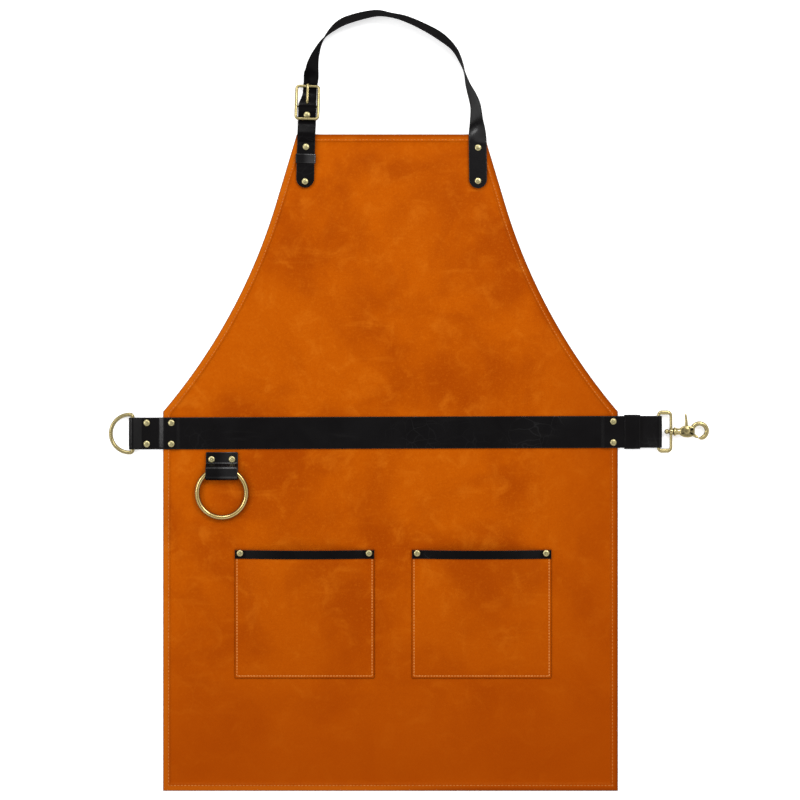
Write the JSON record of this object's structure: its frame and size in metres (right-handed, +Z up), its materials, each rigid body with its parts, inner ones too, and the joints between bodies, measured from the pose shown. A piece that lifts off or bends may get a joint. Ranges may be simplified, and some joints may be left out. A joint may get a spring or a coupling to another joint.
{
  "type": "leather work apron",
  "caption": "Leather bib apron lying flat, with patch pockets, a waist belt between a D-ring and a swivel snap, a hanging ring in a tab and a buckled neck strap.",
  "frame": {"origin": "below the middle of the whole apron's box, on the surface that it lies on", "axes": "+Z up from the surface through the leather, +Y from the hem to the bib and neck strap, +X across towards the snap"},
  "size_m": [0.7486, 0.976, 0.0226],
  "materials": {
    "tan_leather": "glossy waxed pull-up leather, orange tan",
    "black_leather": "smooth black strap leather, semi-gloss",
    "fitting_brass": "polished brass",
    "rivet_brass": "pale polished brass"
  },
  "bodies": {
    "apron": {"apron_body": "tan_leather", "pocket_left": "tan_leather", "pocket_right": "tan_leather", "pocket_trim_left": "black_leather", "pocket_trim_right": "black_leather", "pocket_rivet_1": "rivet_brass", "pocket_rivet_2": "rivet_brass", "pocket_rivet_3": "rivet_brass", "pocket_rivet_4": "rivet_brass", "waist_belt": "black_leather", "belt_keeper": "black_leather", "belt_rivet_1": "rivet_brass", "belt_rivet_2": "rivet_brass", "belt_rivet_3": "rivet_brass", "belt_rivet_4": "rivet_brass", "belt_rivet_5": "rivet_brass", "belt_rivet_6": "rivet_brass", "ring_tab": "black_leather", "tab_rivet_1": "rivet_brass", "tab_rivet_2": "rivet_brass", "hang_ring": "fitting_brass", "neck_strap": "black_leather", "neck_rivet_1": "rivet_brass", "neck_rivet_2": "rivet_brass", "buckle_strap": "black_leather", "buckle_rivet_1": "rivet_brass", "buckle_rivet_2": "rivet_brass", "strap_keeper": "black_leather", "buckle_frame": "fitting_brass", "buckle_tongue": "fitting_brass", "buckle_stud": "rivet_brass"},
    "d_ring": {"d_ring": "fitting_brass"},
    "snap_frame": {"snap_frame": "fitting_brass"},
    "snap_hook": {"snap_hook": "fitting_brass"},
    "snap_trigger": {"snap_trigger": "fitting_brass"}
  },
  "joints": [
    {"name": "d_ring_swing", "type": "hinge", "parent": "apron", "child": "d_ring", "pos_m": [-0.34435, -0.04171, 0.0048], "axis": [0, 1, 0], "range_deg": [-140, 140]},
    {"name": "snap_frame_swing", "type": "hinge", "parent": "apron", "child": "snap_frame", "pos_m": [0.31175, -0.03924, 0.0057], "axis": [0, 1, 0], "range_deg": [-120, 120]},
    {"name": "snap_swivel", "type": "hinge", "parent": "snap_frame", "child": "snap_hook", "pos_m": [0.3271, -0.03924, 0.0057], "axis": [1, 0, 0], "continuous": true},
    {"name": "snap_trigger_turn", "type": "hinge", "parent": "snap_hook", "child": "snap_trigger", "pos_m": [0.34635, -0.03799, 0.0057], "axis": [0, 0, 1], "range_deg": [0, 18], "stiffness_Nm_per_rad": 0.02, "springref_deg": -17.19}
  ]
}
